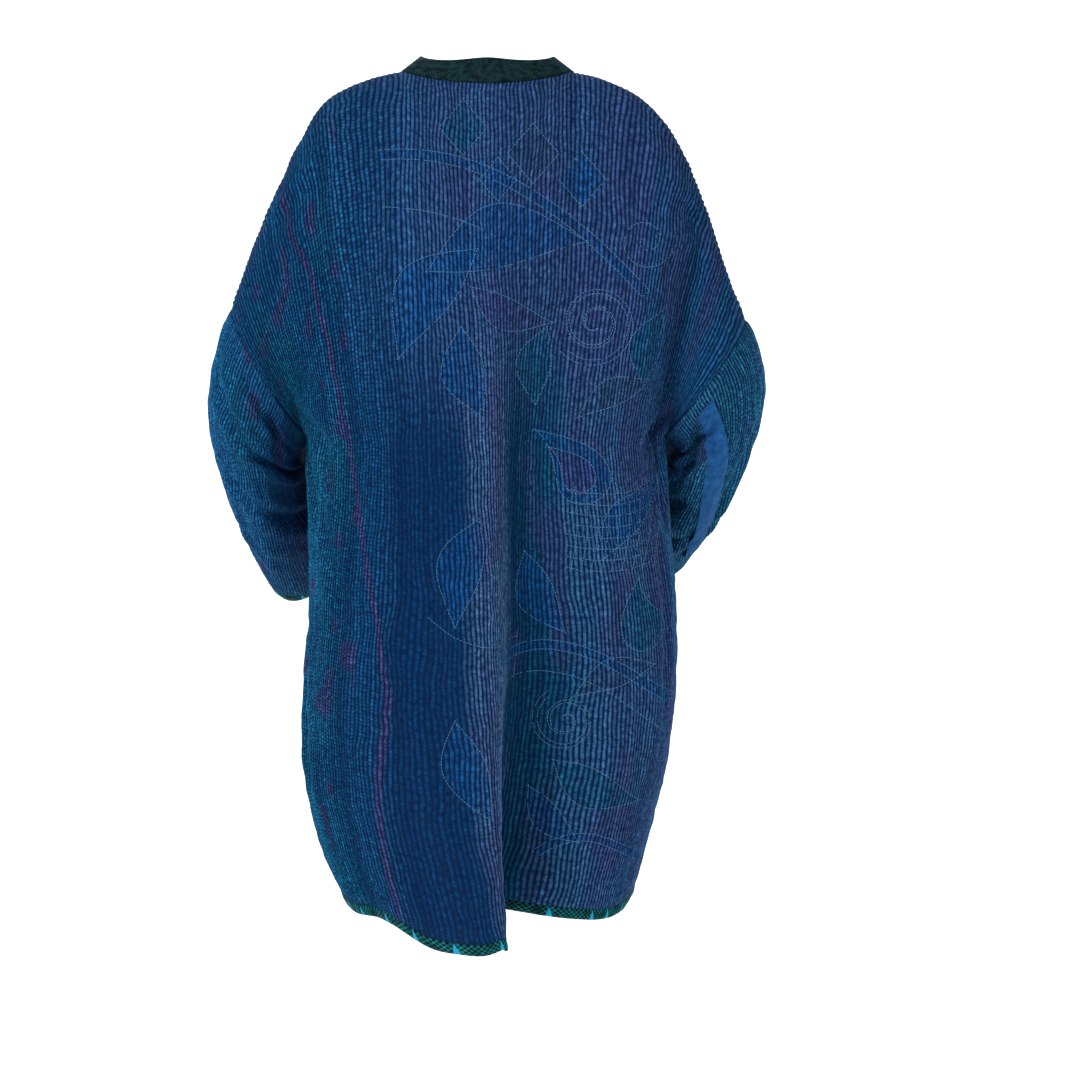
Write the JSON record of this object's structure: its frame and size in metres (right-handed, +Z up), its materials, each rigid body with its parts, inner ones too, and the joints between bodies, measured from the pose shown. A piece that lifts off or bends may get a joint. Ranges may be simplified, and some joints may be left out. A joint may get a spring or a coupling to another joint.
{
  "type": "haori",
  "caption": "Long wide haori coat of hand-stitched indigo cotton, in its worn shape, with drop shoulders, wide sleeves and an open front.",
  "frame": {"origin": "between the shoulders, on the shoulder line where the neck meets it", "axes": "+Z up, +Y towards the wearer's back, +X towards the wearer's left"},
  "size_m": [0.6102, 0.4106, 0.945],
  "materials": {
    "stitched_cotton": "layered cotton, overdyed indigo with purple and teal bands, in close rows of running stitch",
    "stitched_sleeve": "the same stitched cotton, bluer",
    "plain_patch": "smooth plain-woven cotton, unstitched",
    "dark_band": "dark green and black basket-checked cotton",
    "checked_binding": "dark green basket-checked cotton with slender turquoise triangles"
  },
  "bodies": {
    "root": {"back_panel": "stitched_cotton", "front_panel_left": "stitched_cotton", "front_panel_right": "stitched_cotton", "sleeve_left": "stitched_sleeve", "sleeve_right": "stitched_sleeve", "sleeve_patch_right": "plain_patch", "collar_front_left": "dark_band", "collar_neck": "dark_band", "collar_front_right": "dark_band", "hem_band_back": "checked_binding", "hem_band_left": "checked_binding", "hem_band_right": "checked_binding", "cuff_band_left": "checked_binding", "cuff_band_right": "checked_binding"}
  },
  "joints": []
}
